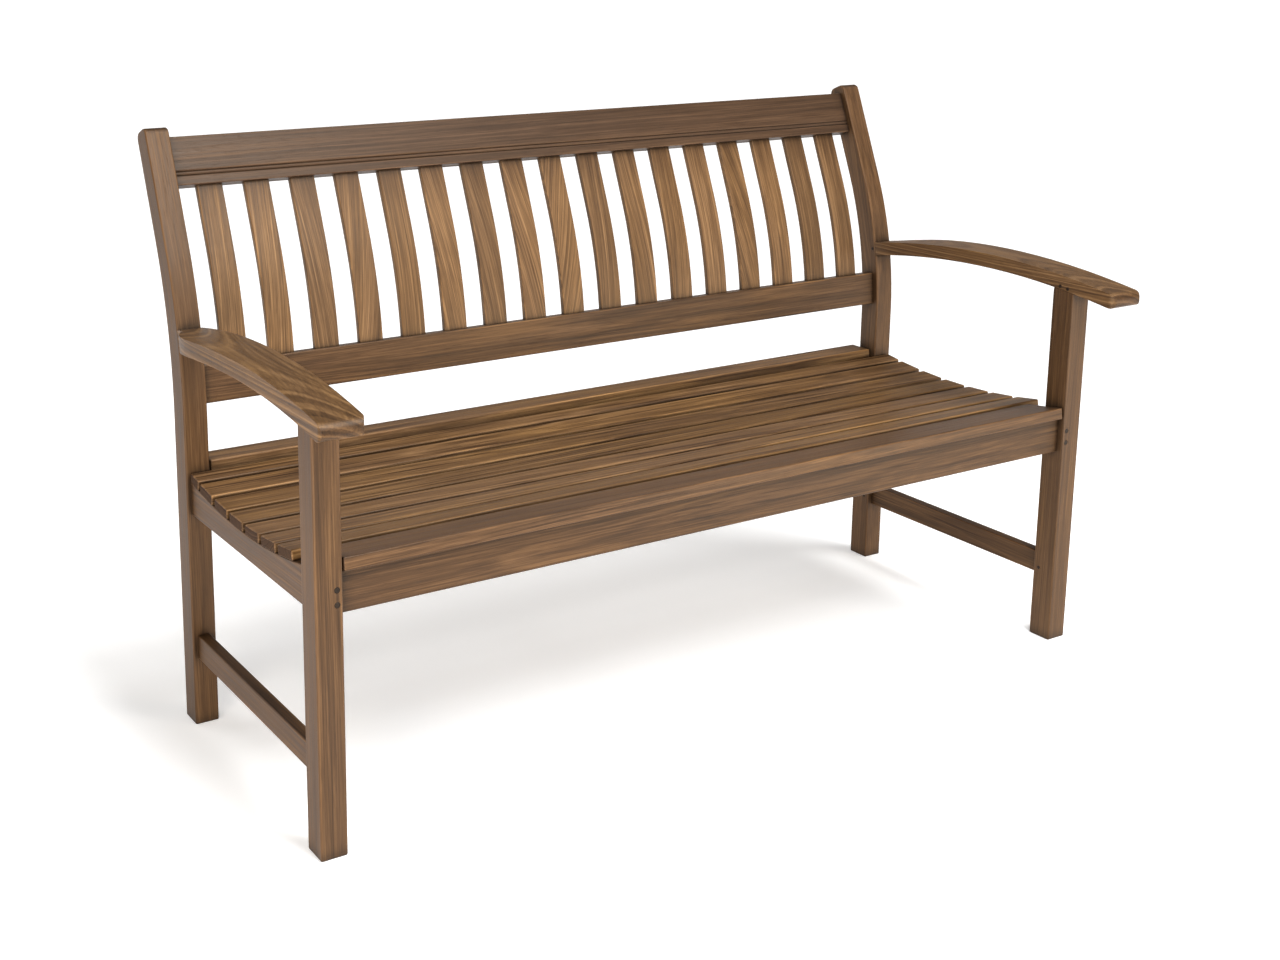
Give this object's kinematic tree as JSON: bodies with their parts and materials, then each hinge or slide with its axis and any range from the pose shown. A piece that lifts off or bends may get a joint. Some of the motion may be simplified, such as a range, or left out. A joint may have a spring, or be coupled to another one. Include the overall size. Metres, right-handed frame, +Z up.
{
  "type": "garden bench",
  "caption": "Hardwood garden bench with a dished slatted seat, a raked back of curved vertical slats and arched armrests that flare outwards.",
  "frame": {"origin": "on the floor under the middle of the bench's bounding box", "axes": "+X along the bench, to the right as seen from the front; +Y from the front towards the back; +Z up"},
  "size_m": [1.5738, 0.7324, 0.9643],
  "materials": {
    "frame_wood": "oiled hardwood, satin",
    "slat_wood": "oiled hardwood, satin",
    "peg_wood": "end grain of oiled hardwood"
  },
  "bodies": {
    "root": {"left_front_leg": "frame_wood", "right_front_leg": "frame_wood", "left_rear_leg": "frame_wood", "right_rear_leg": "frame_wood", "left_armrest": "frame_wood", "right_armrest": "frame_wood", "left_side_seat_rail": "frame_wood", "right_side_seat_rail": "frame_wood", "left_side_stretcher": "frame_wood", "right_side_stretcher": "frame_wood", "front_seat_rail": "frame_wood", "rear_seat_rail": "frame_wood", "centre_seat_bearer": "frame_wood", "back_top_rail": "frame_wood", "back_lower_rail": "frame_wood", "back_slat_01": "slat_wood", "back_slat_02": "slat_wood", "back_slat_03": "slat_wood", "back_slat_04": "slat_wood", "back_slat_05": "slat_wood", "back_slat_06": "slat_wood", "back_slat_07": "slat_wood", "back_slat_08": "slat_wood", "back_slat_09": "slat_wood", "back_slat_10": "slat_wood", "back_slat_11": "slat_wood", "back_slat_12": "slat_wood", "back_slat_13": "slat_wood", "back_slat_14": "slat_wood", "back_slat_15": "slat_wood", "back_slat_16": "slat_wood", "back_slat_17": "slat_wood", "seat_slat_1": "slat_wood", "seat_slat_2": "slat_wood", "seat_slat_3": "slat_wood", "seat_slat_4": "slat_wood", "seat_slat_5": "slat_wood", "seat_slat_6": "slat_wood", "seat_slat_7": "slat_wood", "seat_slat_8": "slat_wood", "seat_slat_9": "slat_wood", "left_front_rail_lower_peg": "peg_wood", "right_front_rail_lower_peg": "peg_wood", "left_front_rail_upper_peg": "peg_wood", "right_front_rail_upper_peg": "peg_wood", "left_rear_rail_lower_peg": "peg_wood", "right_rear_rail_lower_peg": "peg_wood", "left_rear_rail_upper_peg": "peg_wood", "right_rear_rail_upper_peg": "peg_wood", "left_stretcher_front_peg": "peg_wood", "right_stretcher_front_peg": "peg_wood", "left_stretcher_rear_peg": "peg_wood", "right_stretcher_rear_peg": "peg_wood", "left_arm_front_leg_pin": "peg_wood", "right_arm_front_leg_pin": "peg_wood", "left_arm_rear_leg_pin": "peg_wood", "right_arm_rear_leg_pin": "peg_wood", "left_arm_back_pin": "peg_wood", "right_arm_back_pin": "peg_wood"}
  },
  "joints": []
}
